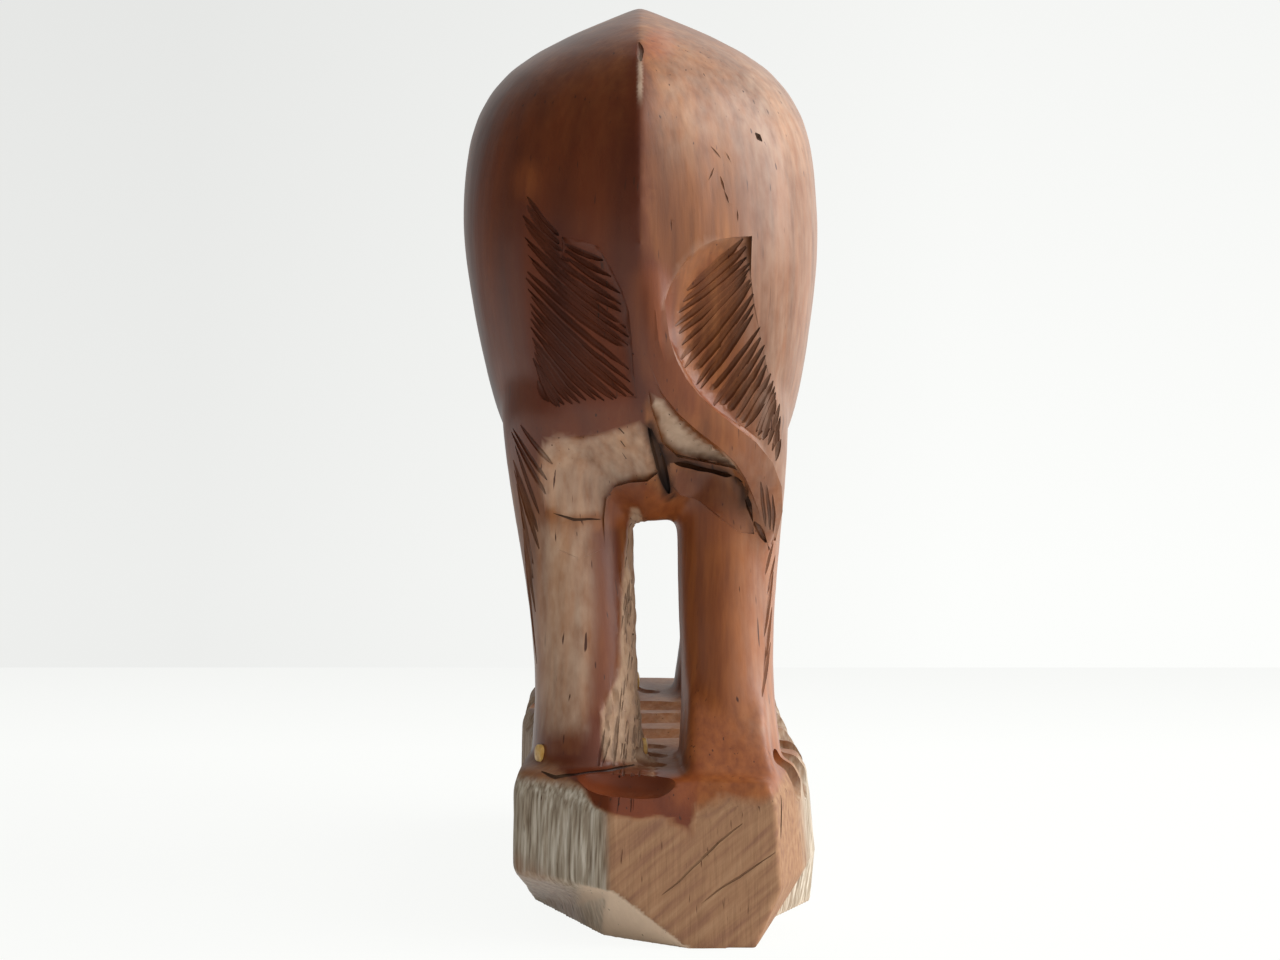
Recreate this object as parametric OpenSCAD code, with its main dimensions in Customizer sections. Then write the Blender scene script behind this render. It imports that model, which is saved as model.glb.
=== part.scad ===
// Carved wooden elephant on a rough ground block.
// One block of hardwood is carved into the animal and the ground it stands on.
// Tusks, eyes and toenails are separate inlays let into that block.
// The animal faces -Y, its left side is +X, and the table top is Z = 0.

/* [Ground block] */
// Length of the ground block from front to back
ground_l = 190; // [178:1:210]
// Width of the ground block
ground_w = 84; // [76:1:100]
// Height of the ground block up to the soles of the feet
ground_h = 46; // [36:1:60]
// Height of the bevel hewn round its foot
bevel_h = 16; // [8:1:20]
// Height of the rounded rim round its top
rim_h = 5; // [3:0.5:8]
// How far the rim runs in
rim_in = 3.5; // [2:0.5:5]
// How far its sides lean in towards the top
draft = 2; // [0:0.5:4]

/* [Body] */
// Height of the body from the belly to the ridge of the back
body_h = 145.5; // [130:0.5:165]
// Width of the body across the flanks
body_w = 103; // [94:1:112]
// How far the rump lies behind the widest part of the body
rump_reach = 86; // [80:1:96]
// How far the chest lies in front of the widest part of the body
chest_reach = 80; // [74:1:90]
// Place of the widest part of the body, in front of the middle of the ground block
body_y = 1; // [-3:1:5]
// How blunt the ridge down the rump is: 2 is a sharp keel
rump_fullness = 3.6; // [3:0.1:4.4]
// How far the feet stand to the right of the middle of the back
lean = 6.2; // [0:0.1:10]

/* [Legs] */
// Length of the legs from sole to belly
leg_l = 68.5; // [60:0.5:76]
// Width over both legs of a pair at the shins
stance_w = 69.2; // [64:0.2:76]
// Width of the left hind leg at the shin
left_hind_w = 29.8; // [26:0.2:31]
// Width of the right hind leg at the shin
right_hind_w = 27.2; // [25:0.2:31]
// Width of a foreleg at the shin
fore_w = 26; // [24:0.2:30]
// Depth of a leg at the shin, front to back
leg_d = 34; // [28:0.5:38]
// Place of the hind legs, behind the middle of the ground block
hind_y = 52; // [48:1:56]
// Place of the forelegs, in front of the middle of the ground block
fore_y = 61; // [57:1:65]

/* [Head] */
// Width of the head across the temples
head_w = 62; // [54:1:68]
// Height of the head from crown to cheek
head_h = 64; // [56:1:70]
// How far the crown lies below the ridge of the back
crown_drop = 12; // [8:1:20]
// How far the middle of the head lies in front of the chest
head_reach = 14; // [8:1:20]
// How far the trunk hangs below the middle of the head
trunk_drop = 110; // [96:1:118]
// How far the tip of the trunk reaches in front of the middle of the head
trunk_reach = 58; // [50:1:66]
// Diameter of the trunk just under the tusks
trunk_root_d = 30; // [26:1:34]
// Diameter of the trunk at its tip
trunk_tip_d = 14; // [11:0.5:18]
// Height of an ear
ear_h = 78; // [66:1:88]
// Breadth of an ear from its root to its rear edge
ear_l = 54; // [44:1:60]
// Thickness of an ear
ear_t = 8; // [6:0.5:10]
// How far the top of an ear lies below the crown
ear_drop = 9; // [5:1:15]

/* [Tail] */
// Width of the tail
tail_w = 10; // [8:0.5:12]
// Width of the tuft at the end of the tail
tuft_w = 11; // [9:0.5:13]

/* [Tusks] */
// Length of a tusk that shows
tusk_l = 46; // [30:1:60]
// Diameter of a tusk where it leaves its socket
tusk_d = 9; // [7.5:0.1:10]
// Diameter of the peg that holds a tusk
peg_d = 5.6; // [4:0.1:6.4]
// Length of that peg
peg_l = 14; // [8:1:18]
// Room round the peg in its bore
peg_fit = 0.05; // [0.02:0.01:0.1]
// Diameter of the carved socket round the root of a tusk
socket_d = 13.5; // [12:0.5:15]
// How far that socket rises round the root
socket_lip = 2; // [1:0.5:3]
// Room round the root in its socket
tusk_room = 0.3; // [0.2:0.05:0.5]
// Angle of a tusk below the level
tusk_dip = 38; // [25:1:50]
// Angle at which a tusk spreads outwards
tusk_spread = 9; // [4:1:14]

/* [Eyes and toenails] */
// Diameter of an eye
eye_d = 5.2; // [4:0.1:7]
// Width of a toenail
nail_w = 3.4; // [2.4:0.1:4.4]
// Height of a toenail
nail_h = 5.6; // [4.6:0.1:7]
// Depth to which eyes and toenails are let in
inlay_depth = 3; // [2:0.1:4]
// How far eyes and toenails stand proud
inlay_rise = 1.2; // [0.6:0.1:1.8]
// Glue gap round eyes and toenails
glue_gap = 0.1; // [0.05:0.01:0.2]
// Turn of the toenails of the left feet from straight ahead, outer one first
left_nail_turn = [124, 64, 4, -92]; // [-130:1:130]
// Turn of the toenails of the right feet from straight ahead, outer one first
right_nail_turn = [62, 24, -16, -56]; // [-130:1:130]

/* [Hidden] */
$fn = 48;
belly_z = ground_h + leg_l;
back_z = belly_z + body_h;
crown_z = back_z - crown_drop;
chest_y = -body_y - chest_reach;
head_y = chest_y - head_reach;
head_z = crown_z - head_h / 2;
root_r = trunk_root_d / 2;
tip_r = trunk_tip_d / 2;
mid_r = root_r * 0.55 + tip_r * 0.5;
low_r = root_r * 0.3 + tip_r * 0.76;
lean_top = belly_z + 0.6 * body_h;
// How far a pocket runs out past the carved surface
clear = 6;
// Height of the middle of a toenail on its leg, in leg lengths
nail_level = 0.045;
// Share of a route over which its direction is taken
step = 0.01;
// How far the boss of a tusk socket reaches back into the head
socket_h = 12;

// Smooth curve through hand-set points, each one a place and a value there
function span(points, at, i = 0) =
    i >= len(points) - 2 || at < points[i + 1][0] ? i : span(points, at, i + 1);
function slope(points, i) =
    let (a = points[max(i - 1, 0)], b = points[min(i + 1, len(points) - 1)])
    (b[1] - a[1]) / (b[0] - a[0]);
function curve(points, at) =
    let (
        i = span(points, at),
        a = points[i],
        b = points[i + 1],
        width = b[0] - a[0],
        u = (at - a[0]) / width
    )
    a[1] * (2 * u ^ 3 - 3 * u ^ 2 + 1) + b[1] * (3 * u ^ 2 - 2 * u ^ 3)
        + width * (slope(points, i) * (u ^ 3 - 2 * u ^ 2 + u) + slope(points, i + 1) * (u ^ 3 - u ^ 2));

function unit(v) = v / norm(v);
function middle(ring) = [for (k = [0 : 2]) [for (p = ring) p[k]] * [for (p = ring) 1] / len(ring)];

// Ring of an oval tube round a point of its route
function tube_ring(centre, along, side, half_w, half_h, sides) =
    let (
        d = unit(along),
        s = unit(side - (side * d) * d),
        f = cross(d, s)
    )
    [for (i = [0 : sides - 1])
        let (a = 360 * i / sides)
        centre + half_w * cos(a) * s + half_h * sin(a) * f];

// Closed skin over rings that turn anticlockwise seen from the last one
module skin(rings) {
    n = len(rings[0]);
    last = len(rings) - 1;
    points = concat([for (ring = rings) each ring], [middle(rings[0]), middle(rings[last])]);
    low = n * (last + 1);
    faces = concat(
        [for (j = [0 : last - 1])
            for (i = [0 : n - 1])
                let (a = j * n + i, b = j * n + (i + 1) % n)
                each [[a, a + n, b + n], [a, b + n, b]]],
        [for (i = [0 : n - 1]) [low, i, (i + 1) % n]],
        [for (i = [0 : n - 1]) [low + 1, last * n + (i + 1) % n, last * n + i]]);
    polyhedron(points, faces, convexity = 10);
}

// Sideways lean of the figure towards its right, most at the table
function sway(z) = -lean * max(0, 1 - z / lean_top);

// Body: level slices from belly to back, each with a keel at the rump and a round chest
flank = [[0, 0.24], [0.05, 0.56], [0.14, 0.77], [0.24, 0.87], [0.4, 0.955], [0.54, 1], [0.66, 0.99],
    [0.75, 0.95], [0.82, 0.865], [0.88, 0.715], [0.94, 0.425], [1, 0.015]];
rump = [[0, 0.68], [0.1, 0.81], [0.2, 0.9], [0.33, 0.97], [0.5, 1], [0.65, 0.99],
    [0.8, 0.93], [0.9, 0.82], [0.95, 0.68], [0.98, 0.46], [1, 0.1]];
chest = [[0, 0.8], [0.1, 0.9], [0.3, 1], [0.6, 1], [0.8, 0.95], [0.9, 0.86], [0.95, 0.72],
    [0.98, 0.46], [1, 0.1]];
function body_half(t) = body_w / 2 * curve(flank, t);
function body_power(t) = rump_fullness * (1.6 - 0.6 * t);
function body_ring(t, sides = 48) =
    let (
        z = belly_z + body_h * t,
        half = body_half(t),
        back = rump_reach * curve(rump, t),
        fore = chest_reach * curve(chest, t)
    )
    [for (i = [0 : sides - 1])
        let (
            a = 360 * i / sides,
            v = 1 - min(a, 360 - a) / 90,
            x = v > 0 ? half * (1 - v ^ body_power(t)) : half * abs(sin(a)),
            y = v > 0 ? back * v : fore * cos(a)
        )
        [sway(z) + (a < 180 ? -x : x), y - body_y, z]];
function body_rear(x, z) =
    let (
        t = (z - belly_z) / body_h,
        off = min(1, abs(x - sway(z)) / body_half(t))
    )
    rump_reach * curve(rump, t) * (1 - off) ^ (1 / body_power(t)) - body_y;

module body() {
    slices = 26;
    skin([for (k = [0 : slices]) body_ring((1 - cos(180 * k / slices)) / 2)]);
}

// Legs: level slices from under the ground to inside the body.
// Each row is a height in leg lengths, then outward shift, rearward shift, width and depth in shin sizes.
hind_shape = [[-0.1, [0, 0.03, 1.09, 1.14]], [0.06, [0, 0.03, 1.08, 1.12]], [0.3, [0, 0, 0.99, 0.98]],
    [0.6, [0.01, -0.07, 1.02, 0.97]], [0.95, [0.065, -0.18, 1.11, 1.01]], [1.2, [0.105, -0.2, 1.18, 1.05]],
    [1.45, [0.12, -0.17, 1.22, 1.36]], [1.65, [0.09, -0.22, 1.2, 1.36]], [1.95, [0.03, -0.3, 1.1, 1.25]],
    [2.3, [-0.06, -0.36, 0.8, 1]]];
fore_shape = [[-0.1, [0, 0, 1.22, 1.1]], [0.06, [0, 0, 1.2, 1.08]], [0.3, [0, 0, 1, 0.94]],
    [0.6, [0.005, 0.01, 1, 0.98]], [1, [0.03, 0.03, 1.14, 1.16]], [1.4, [0.05, 0.1, 1.28, 1.4]],
    [1.8, [0.02, 0.16, 1.24, 1.35]], [2.2, [-0.05, 0.2, 0.9, 1]]];
// The feet in order: left hind, right hind, left fore, right fore
foot_shape = [hind_shape, hind_shape, fore_shape, fore_shape];
foot_side = [1, -1, 1, -1];
foot_y = [hind_y, hind_y, -fore_y, -fore_y];
foot_w = [left_hind_w, right_hind_w, fore_w, fore_w];
function leg_at(foot, level) =
    let (
        z = ground_h + leg_l * level,
        w = foot_w[foot],
        s = curve(foot_shape[foot], level),
        out = (stance_w - w) / 2 + w * s[0]
    )
    [sway(z) + foot_side[foot] * out, foot_y[foot] + leg_d * s[1], z, w / 2 * s[2], leg_d / 2 * s[3]];
function leg_ring(foot, level, sides = 24) =
    let (s = leg_at(foot, level))
    [for (i = [0 : sides - 1])
        let (a = 360 * i / sides)
        [s[0] + s[3] * cos(a), s[1] + s[4] * sin(a), s[2]]];
function thigh_rear(x, z) =
    let (
        s = leg_at(x > 0 ? 0 : 1, (z - ground_h) / leg_l),
        off = min(1, abs(x - s[0]) / s[3])
    )
    s[1] + s[4] * sqrt(1 - off ^ 2);

module leg(foot) {
    slices = 14;
    bottom = foot_shape[foot][0][0];
    top = foot_shape[foot][len(foot_shape[foot]) - 1][0];
    skin([for (k = [0 : slices]) leg_ring(foot, bottom + (top - bottom) * k / slices)]);
}

// Head and trunk: one tube from inside the neck, over the brow, down and up again at the curled tip.
// Each row is a share of the way, then place along, height, half width and half depth.
head_route = [
    [0, [chest_y + chest_reach * 0.33, head_z - head_h * 0.16, head_w * 0.58, head_h * 0.54]],
    [0.12, [chest_y + chest_reach * 0.05, head_z - head_h * 0.05, head_w * 0.54, head_h * 0.52]],
    [0.25, [head_y, head_z, head_w * 0.5, head_h * 0.5]],
    [0.38, [head_y - trunk_reach * 0.26, head_z - trunk_drop * 0.11, head_w * 0.43, head_h * 0.41]],
    [0.5, [head_y - trunk_reach * 0.41, head_z - trunk_drop * 0.31, root_r * 1.22, root_r * 1.22]],
    [0.62, [head_y - trunk_reach * 0.48, head_z - trunk_drop * 0.53, root_r, root_r]],
    [0.74, [head_y - trunk_reach * 0.52, head_z - trunk_drop * 0.75, mid_r, mid_r]],
    [0.84, [head_y - trunk_reach * 0.6, head_z - trunk_drop * 0.93, low_r, low_r]],
    [0.92, [head_y - trunk_reach * 0.79, head_z - trunk_drop, tip_r * 1.2, tip_r * 1.2]],
    [1, [head_y - trunk_reach, head_z - trunk_drop * 0.93, tip_r, tip_r]]];
function head_at(t) = curve(head_route, t);
function head_ring(t) =
    let (
        s = head_at(t),
        ahead = head_at(min(1, t + step)),
        behind = head_at(max(0, t - step))
    )
    tube_ring([0, s[0], s[1]], [0, ahead[0] - behind[0], ahead[1] - behind[1]], [1, 0, 0], s[2], s[3], 28);

module head() {
    slices = 32;
    skin([for (k = [0 : slices]) head_ring(k / slices)]);
}

// Lower jaw behind the root of the trunk
jaw_route = [
    [0, [head_y + head_h * 0.06, head_z - head_h * 0.22, head_w * 0.33, head_h * 0.26]],
    [0.5, [head_y - head_h * 0.09, head_z - head_h * 0.53, head_w * 0.22, head_h * 0.19]],
    [1, [head_y - head_h * 0.19, head_z - head_h * 0.81, head_w * 0.08, head_h * 0.08]]];
module jaw() {
    slices = 8;
    skin([for (k = [0 : slices])
        let (
            t = k / slices,
            s = curve(jaw_route, t),
            d = curve(jaw_route, min(1, t + step)) - curve(jaw_route, max(0, t - step))
        )
        tube_ring([0, s[0], s[1]], [0, d[0], d[1]], [1, 0, 0], s[2], s[3], 16)]);
}

// Ear: thin level slices from the lobe up, rooted at the temple and laid back along the shoulder.
// Each row is a share of the height, then where its front edge starts, its breadth, its thickness
// and how far it leans in, all as shares of the ear's own sizes.
ear_shape = [[0, [0.16, 0.12, 0.4, 0.06]], [0.08, [0.09, 0.36, 0.8, 0.02]], [0.28, [0.02, 0.7, 1, 0]],
    [0.55, [0, 0.94, 1, 0]], [0.75, [0.01, 0.99, 1, 0]], [0.88, [0.06, 0.86, 0.9, 0.03]],
    [0.96, [0.16, 0.58, 0.75, 0.07]], [1, [0.3, 0.26, 0.4, 0.12]]];
ear_root = [head_w * 0.42, head_y + ear_l * 0.11];
ear_out = body_w * 0.42 - ear_t / 2;
ear_top = crown_z - ear_drop;
module ear(side) {
    slices = 16;
    skin([for (k = [0 : slices])
        let (
            t = k / slices,
            s = curve(ear_shape, t),
            front = [ear_root[0] + (ear_out - ear_root[0]) * s[0], ear_root[1] + ear_l * s[0]],
            back = [ear_out - ear_l * s[3], ear_root[1] + ear_l * (s[0] + s[1])],
            mid = (front + back) / 2,
            breadth = back - front,
            z = ear_top - ear_h * (1 - t)
        )
        tube_ring([side * mid[0], mid[1], z], [0, 0, 1], [side * breadth[0], breadth[1], 0],
            norm(breadth) / 2, ear_t / 2 * s[2], 20)]);
}

// Tail: a strip that leaves the ridge of the rump, swings right and ends in a tuft.
// Each row is a distance right of the ridge in body widths, a height above the belly in body heights,
// then a half width and a rise off the rump.
tail_shape = [
    [0.015, 0.57, tail_w * 0.4, -tail_w * 0.5],
    [0.029, 0.474, tail_w * 0.48, -tail_w * 0.32],
    [0.044, 0.378, tail_w * 0.5, -tail_w * 0.12],
    [0.087, 0.282, tail_w * 0.52, tail_w * 0.04],
    [0.175, 0.206, tail_w * 0.5, tail_w * 0.2],
    [0.272, 0.155, tail_w * 0.46, tail_w * 0.34],
    [0.325, 0.093, tuft_w * 0.46, tuft_w * 0.34],
    [0.345, 0.024, tuft_w * 0.44, tuft_w * 0.24],
    [0.35, -0.052, tuft_w * 0.12, -tuft_w * 0.04]];
function tail_point(row) =
    let (
        x = -body_w * row[0],
        z = belly_z + body_h * row[1],
        rear = max(body_rear(x, max(z, belly_z)), thigh_rear(x, z))
    )
    [x, rear + row[3], z];
tail_route = [for (i = [0 : len(tail_shape) - 1])
    let (row = tail_shape[i])
    [i, concat(tail_point(row), [row[2]])]];
function tail_at(i) =
    let (s = curve(tail_route, i))
    [s[0], s[1], s[2]];
module tail() {
    last = len(tail_route) - 1;
    slices = 26;
    skin([for (k = [0 : slices])
        let (
            i = last * k / slices,
            half = curve(tail_route, i)[3],
            d = tail_at(min(last, i + step)) - tail_at(max(0, i - step))
        )
        tube_ring(tail_at(i), d, cross([0, 1, 0], d), half, half * 0.9, 14)]);
}

// Ground: hewn corners, anticlockwise seen from above.
// Each row is a side and an end, the shares of the width and length cut off there above the bevel,
// the shares cut off at the table, and how much of the rim is worn away.
hewn = [
    [1, 1, 0, 0.126, 0.06, 0.321, 1],
    [1, 1, 0.33, 0, 0.3, 0.084, 1.8],
    [1, 1, 0.345, 0, 0.59, -0.003, 1.8],
    [-1, 1, 0.37, 0.005, 0.37, -0.004, 2],
    [-1, 1, 0.1, 0.011, 0.19, 0.002, 1.2],
    [-1, 1, 0, 0.174, 0.13, 0.184, 1],
    [-1, 1, -0.04, 0.295, -0.02, 0.316, 1],
    [-1, 1, -0.01, 0.526, 0.05, 0.526, 1],
    [-1, -1, 0.02, 0.263, 0.1, 0.274, 1],
    [-1, -1, 0.04, 0.063, 0.14, 0.105, 1],
    [-1, -1, 0.29, 0.011, 0.33, 0.063, 1.4],
    [1, -1, 0.24, 0, 0.31, 0.053, 1.4],
    [1, -1, 0.01, 0.068, 0.14, 0.126, 1],
    [1, -1, -0.01, 0.316, 0.07, 0.326, 1],
    [1, 1, 0.04, 0.474, 0.06, 0.505, 1]];
function hewn_corner(row, across, along, z, shrink) =
    let (
        x = ground_w * (0.5 - across),
        y = ground_l * (0.5 - along),
        keep = 1 - shrink / norm([x, y])
    )
    [sway(z) + row[0] * x * keep, row[1] * y * keep, z];
module ground() {
    skin([
        [for (row = hewn) hewn_corner(row, row[4], row[5], 0, 0)],
        [for (row = hewn) hewn_corner(row, row[2], row[3], bevel_h, 0)],
        [for (row = hewn) hewn_corner(row, row[2], row[3], ground_h - rim_h * row[6], draft)],
        [for (row = hewn) hewn_corner(row, row[2], row[3], ground_h, draft + rim_in * row[6])]]);
}

// Places of the inlays on the carved surface
function tusk_place(side) = [side * head_w * 0.35, head_y - trunk_reach * 0.41, head_z - trunk_drop * 0.33];
function tusk_turn(side) = [90 + tusk_dip, 0, side * tusk_spread];
function eye_place(side) =
    let (s = head_at(0.3))
    [side * s[2] * 0.93, s[0], s[1] + s[3] * 0.28];
module at_tusk(side) {
    translate(tusk_place(side)) rotate(tusk_turn(side)) children();
}
module at_eye(side) {
    translate(eye_place(side)) rotate([78, 0, side * 74]) children();
}
function nail_turn(foot, number) = (foot_side[foot] > 0 ? left_nail_turn : right_nail_turn)[number];
module at_nail(foot, number) {
    s = leg_at(foot, nail_level);
    a = -90 + foot_side[foot] * nail_turn(foot, number);
    turn = atan2(sin(a) / s[4], cos(a) / s[3]);
    translate([s[0] + s[3] * cos(a), s[1] + s[4] * sin(a), s[2]])
    rotate([0, 90, turn])
    children();
}

module slot(length, width, height) {
    straight = (length - width) / 2;
    linear_extrude(height) {
        square([2 * straight, width], center = true);
        for (end = [-straight, straight]) translate([end, 0]) circle(width / 2);
    }
}

module carved_block() {
    color("saddlebrown")
    difference() {
        union() {
            ground();
            body();
            for (side = [1, -1]) {
                ear(side);
                at_tusk(side)
                translate([0, 0, -socket_h])
                cylinder(d1 = socket_d * 1.3, d2 = socket_d, h = socket_h + socket_lip);
            }
            for (foot = [0 : 3]) leg(foot);
            head();
            jaw();
            tail();
        }
        for (side = [1, -1]) {
            at_tusk(side) {
                translate([0, 0, -peg_l]) cylinder(d = peg_d + 2 * peg_fit, h = peg_l + socket_lip);
                cylinder(d = tusk_d + 2 * tusk_room, h = tusk_l / 2);
            }
            at_eye(side)
            translate([0, 0, -inlay_depth])
            cylinder(d = eye_d + 2 * glue_gap, h = inlay_depth + clear);
        }
        for (foot = [0 : 3])
            for (number = [0 : 3])
                at_nail(foot, number)
                translate([0, 0, -inlay_depth - glue_gap])
                slot(nail_h + 2 * glue_gap, nail_w + 2 * glue_gap, inlay_depth + clear);
    }
}

// Tusk: a straight peg, then a round horn that tapers and curves up
module tusk(side) {
    bend = 38;
    sides = 24;
    slices = 16;
    color("wheat")
    at_tusk(side) {
        translate([0, 0, -peg_l]) cylinder(d = peg_d, h = peg_l + 1);
        skin([for (k = [0 : slices])
            let (
                t = k / slices,
                a = bend * t,
                r = tusk_l * 180 / (PI * bend),
                half = tusk_d / 2 * (1 - 0.86 * t ^ 1.7)
            )
            tube_ring([0, r * (1 - cos(a)), r * sin(a)], [0, sin(a), cos(a)], [1, 0, 0],
                half, half, sides)]);
    }
}
module left_tusk() { tusk(1); }
module right_tusk() { tusk(-1); }

// Eye: a short peg with a domed head
module eye(side) {
    dome_r = (eye_d ^ 2 / 4 + inlay_rise ^ 2) / (2 * inlay_rise);
    color("black")
    at_eye(side)
    intersection() {
        translate([0, 0, -inlay_depth]) cylinder(d = eye_d, h = inlay_depth + inlay_rise);
        translate([0, 0, inlay_rise - dome_r]) sphere(dome_r);
    }
}
module left_eye() { eye(1); }
module right_eye() { eye(-1); }

// Toenail: a slot-shaped inlay with a domed face
module toenail(foot, number) {
    dome_r = nail_h * 1.3;
    color("khaki")
    at_nail(foot, number)
    intersection() {
        translate([0, 0, -inlay_depth]) slot(nail_h, nail_w, inlay_depth + inlay_rise);
        translate([0, 0, inlay_rise - dome_r]) sphere(dome_r);
    }
}

carved_block();
left_tusk();
right_tusk();
left_eye();
right_eye();
for (foot = [0 : 3])
    for (number = [0 : 3])
        toenail(foot, number);
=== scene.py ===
import math

import bmesh
import bpy
import numpy as np
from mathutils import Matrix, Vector
from mathutils.bvhtree import BVHTree
from mathutils.geometry import delaunay_2d_cdt


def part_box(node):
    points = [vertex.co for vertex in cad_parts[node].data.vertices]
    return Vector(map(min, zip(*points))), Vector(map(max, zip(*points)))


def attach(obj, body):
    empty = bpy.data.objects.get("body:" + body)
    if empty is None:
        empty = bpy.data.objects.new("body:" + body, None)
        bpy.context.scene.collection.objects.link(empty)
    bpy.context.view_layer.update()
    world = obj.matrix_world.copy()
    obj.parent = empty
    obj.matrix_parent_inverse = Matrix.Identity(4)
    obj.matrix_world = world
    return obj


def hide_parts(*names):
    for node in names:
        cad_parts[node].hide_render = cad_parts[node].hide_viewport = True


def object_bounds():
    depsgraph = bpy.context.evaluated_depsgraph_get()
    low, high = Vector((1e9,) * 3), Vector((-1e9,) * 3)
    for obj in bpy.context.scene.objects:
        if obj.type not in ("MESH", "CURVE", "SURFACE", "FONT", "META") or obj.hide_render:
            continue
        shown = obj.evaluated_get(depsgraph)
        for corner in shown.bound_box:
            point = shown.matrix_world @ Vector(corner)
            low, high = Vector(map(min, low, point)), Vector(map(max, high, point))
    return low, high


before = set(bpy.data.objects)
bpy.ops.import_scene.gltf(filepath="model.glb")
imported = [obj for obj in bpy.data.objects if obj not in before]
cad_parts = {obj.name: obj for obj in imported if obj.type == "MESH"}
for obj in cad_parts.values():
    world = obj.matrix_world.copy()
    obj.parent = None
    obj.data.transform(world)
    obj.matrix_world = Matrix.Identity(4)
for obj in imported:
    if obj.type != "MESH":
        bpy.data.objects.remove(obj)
cadBounds = [list(corner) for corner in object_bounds()]
scene = bpy.context.scene
mm = 0.001


# small helpers
def linear(hexColour):
    parts = [int(hexColour[i:i + 2], 16) / 255 for i in (1, 3, 5)]
    return [c / 12.92 if c <= 0.04045 else ((c + 0.055) / 1.055) ** 2.4 for c in parts] + [1.0]


def addNode(tree, kind, inputs=None, stops=(), **settings):
    node = tree.nodes.new(kind)
    for key, value in settings.items():
        setattr(node, key, value)
    for key, value in (inputs or {}).items():
        if isinstance(value, bpy.types.NodeSocket):
            tree.links.new(value, node.inputs[key])
        else:
            node.inputs[key].default_value = value
    for i, (at, colour) in enumerate(stops):
        marks = node.color_ramp.elements
        mark = marks[i] if i < len(marks) else marks.new(at)
        mark.position, mark.color = at, linear(colour)
    return node


def addObject(name, data):
    obj = bpy.data.objects.new(name, data)
    scene.collection.objects.link(obj)
    return obj


def bake(obj):
    # replaces the mesh by what its modifiers make of it, and takes them off
    graph = bpy.context.evaluated_depsgraph_get()
    mesh = bpy.data.meshes.new_from_object(obj.evaluated_get(graph))
    obj.modifiers.clear()
    obj.data = mesh
    return obj


def points(mesh):
    co = np.empty(len(mesh.vertices) * 3, np.float32)
    mesh.vertices.foreach_get("co", co)
    return co.reshape(-1, 3).astype(float) * 1000


def putPoints(mesh, co):
    mesh.vertices.foreach_set("co", (co * mm).astype(np.float32).ravel())
    mesh.update()


def edgesOf(mesh):
    ends = np.empty(len(mesh.edges) * 2, np.int32)
    mesh.edges.foreach_get("vertices", ends)
    return ends.reshape(-1, 2)


def putFloats(mesh, name, values):
    layer = mesh.attributes.get(name) or mesh.attributes.new(name, "FLOAT", "POINT")
    layer.data.foreach_set("value", np.asarray(values, np.float32))


def ease(x, low, high):
    t = np.clip((x - low) / (high - low), 0, 1)
    return t * t * (3 - 2 * t)


def blob(co, centre, size):
    # soft spot, 1 in its middle and 0 from its edge outwards
    d = np.linalg.norm((co - np.array(centre)) / np.array(size), axis=1)
    return 1 - ease(d, 0.45, 1)


# the ridge of the rump leans towards the tail's side lower down: reach in x, and height where it is upright
ridgeLean = {"reach": -6.2, "upright": 201.8}


def leanAt(z):
    return ridgeLean["reach"] * np.maximum(0, 1 - np.asarray(z) / ridgeLean["upright"])


# materials are made first, because the cutters carry them
def newMaterial(name):
    mat = bpy.data.materials.new(name)
    mat.use_nodes = True
    mat.node_tree.nodes.clear()
    return mat, mat.node_tree


# grain of the wood: millimetres across and along it, detail, and degrees that it slants from upright
# the pores of a real hardwood are 0.2 wide, drawn as coarse as they need to show
woodGrain = {
    "bands": (15, 170, 2, 0), "grain": (2.2, 60, 3, 0), "pores": (1.1, 15, 1, 0), "weather": (1.2, 22, 5, 0),
    "blotch": (26, 30, 3, 0), "slant": (2.2, 45, 5, -48), "mottle": (3, 8, 6, 0)}
woodStops = {
    "stained": ("bands", [(0.3, "#74401d"), (0.5, "#8d542b"), (0.72, "#a76c3c")]),
    "streaks": ("grain", [(0.3, "#988578"), (0.66, "#ffffff")]),
    # darker red-brown laid on as painted shade
    "paintedShadeBrown": ("bands", [(0.3, "#50200c"), (0.72, "#733311")]),
    "ochre": ("grain", [(0.3, "#884520"), (0.7, "#a05829")]),
    "bare": ("slant", [(0.3, "#87604a"), (0.5, "#997254"), (0.7, "#a68061")]),
    "grey": ("weather", [(0.32, "#7c6a57"), (0.5, "#ab9c89"), (0.68, "#d2c7b7")]),
    "flecks": ("pores", [(0.23, "#ffffff"), (0.28, "#000000")]),
    "patches": ("blotch", [(0.38, "#4a4a4a"), (0.62, "#000000")]),
}
# the pale tint is wear and painted highlights; the near-black tint is painted shadow
woodTints = {"patches": "#5a2a14", "worn": "#dcc2a9", "flecks": "#45210f", "creaseShadow": "#241109"}
woodFinish = {"mattRough": 0.7, "specular": 0.25, "coat": 0.32, "coatRough": 0.34, "ragged": 0.7,
              "smoothBump": 0.12, "rawBump": 0.4, "bumpDepth": 0.5}


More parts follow.
